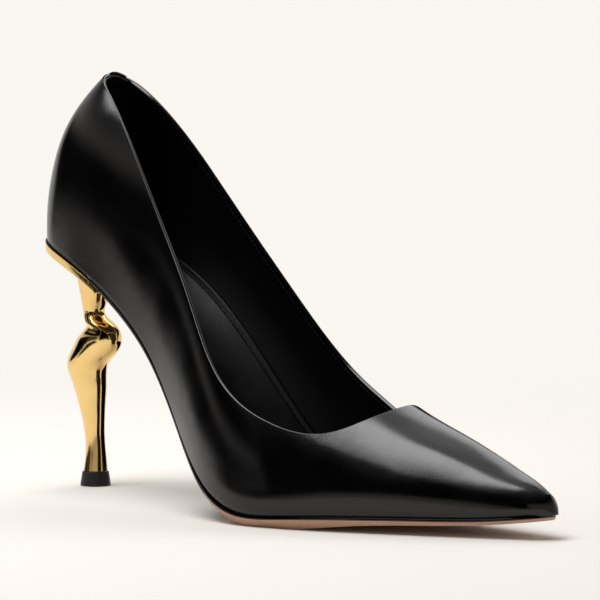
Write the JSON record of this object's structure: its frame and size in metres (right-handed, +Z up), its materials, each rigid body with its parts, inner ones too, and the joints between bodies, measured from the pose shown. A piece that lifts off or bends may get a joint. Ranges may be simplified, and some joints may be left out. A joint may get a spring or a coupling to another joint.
{
  "type": "high heel shoe",
  "caption": "Pointed pump with a hollow lasted upper, thin leather sole with arch and toe spring, padded insole and a tall folded metal heel on a small rubber lift; a right shoe.",
  "frame": {"origin": "on the floor, under the middle of the shoe's box", "axes": "+X from heel to toe, +Y to the inner (medial) side of the right foot, +Z up"},
  "size_m": [0.244, 0.0736, 0.1578],
  "materials": {
    "upper_leather": "smooth black calf, satin gloss",
    "sole_leather": "tan sole leather with a black edge band",
    "sock_leather": "soft black padded lining leather",
    "heel_gold": "mirror-polished gold plating",
    "lift_rubber": "matt black moulded rubber",
    "tab_leather": "smooth black calf, satin gloss"
  },
  "bodies": {
    "root": {"upper": "upper_leather", "outsole": "sole_leather", "insole": "sock_leather", "heel": "heel_gold", "top_lift": "lift_rubber", "heel_tab": "tab_leather"}
  },
  "joints": []
}
